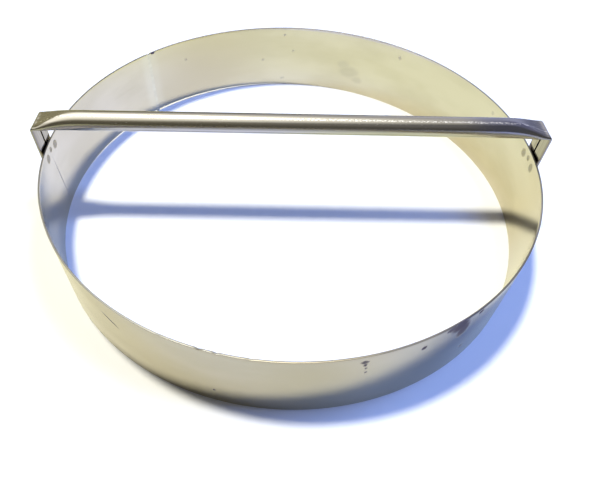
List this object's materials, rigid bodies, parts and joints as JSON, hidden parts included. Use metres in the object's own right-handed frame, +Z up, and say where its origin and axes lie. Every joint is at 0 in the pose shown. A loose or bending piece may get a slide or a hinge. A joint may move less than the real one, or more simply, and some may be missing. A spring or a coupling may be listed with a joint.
{
  "type": "pizza base cutter",
  "caption": "Plain round steel dough cutter: a tall thin-walled ring, open top and bottom, with a straight tube handle welded across it by flattened, bent-down ends.",
  "frame": {"origin": "centre of the ring on the plane of its cutting edge", "axes": "+X along the handle, +Z up through the handle, +Y across the ring towards the rear welds"},
  "size_m": [0.3096, 0.3048, 0.075],
  "materials": {
    "ring_steel": "satin rolled stainless sheet, faintly brushed round the ring",
    "tube_steel": "bright drawn stainless tube with fine lengthwise scratches",
    "seam_steel": "dressed butt weld",
    "weld_steel": "heat-tinted spot weld, matt"
  },
  "bodies": {
    "root": {"cutter_ring": "ring_steel", "ring_seam_weld": "seam_steel", "handle": "tube_steel", "left_weld_front": "weld_steel", "left_weld_middle": "weld_steel", "left_weld_rear": "weld_steel", "right_weld_front": "weld_steel", "right_weld_middle": "weld_steel", "right_weld_rear": "weld_steel"}
  },
  "joints": []
}
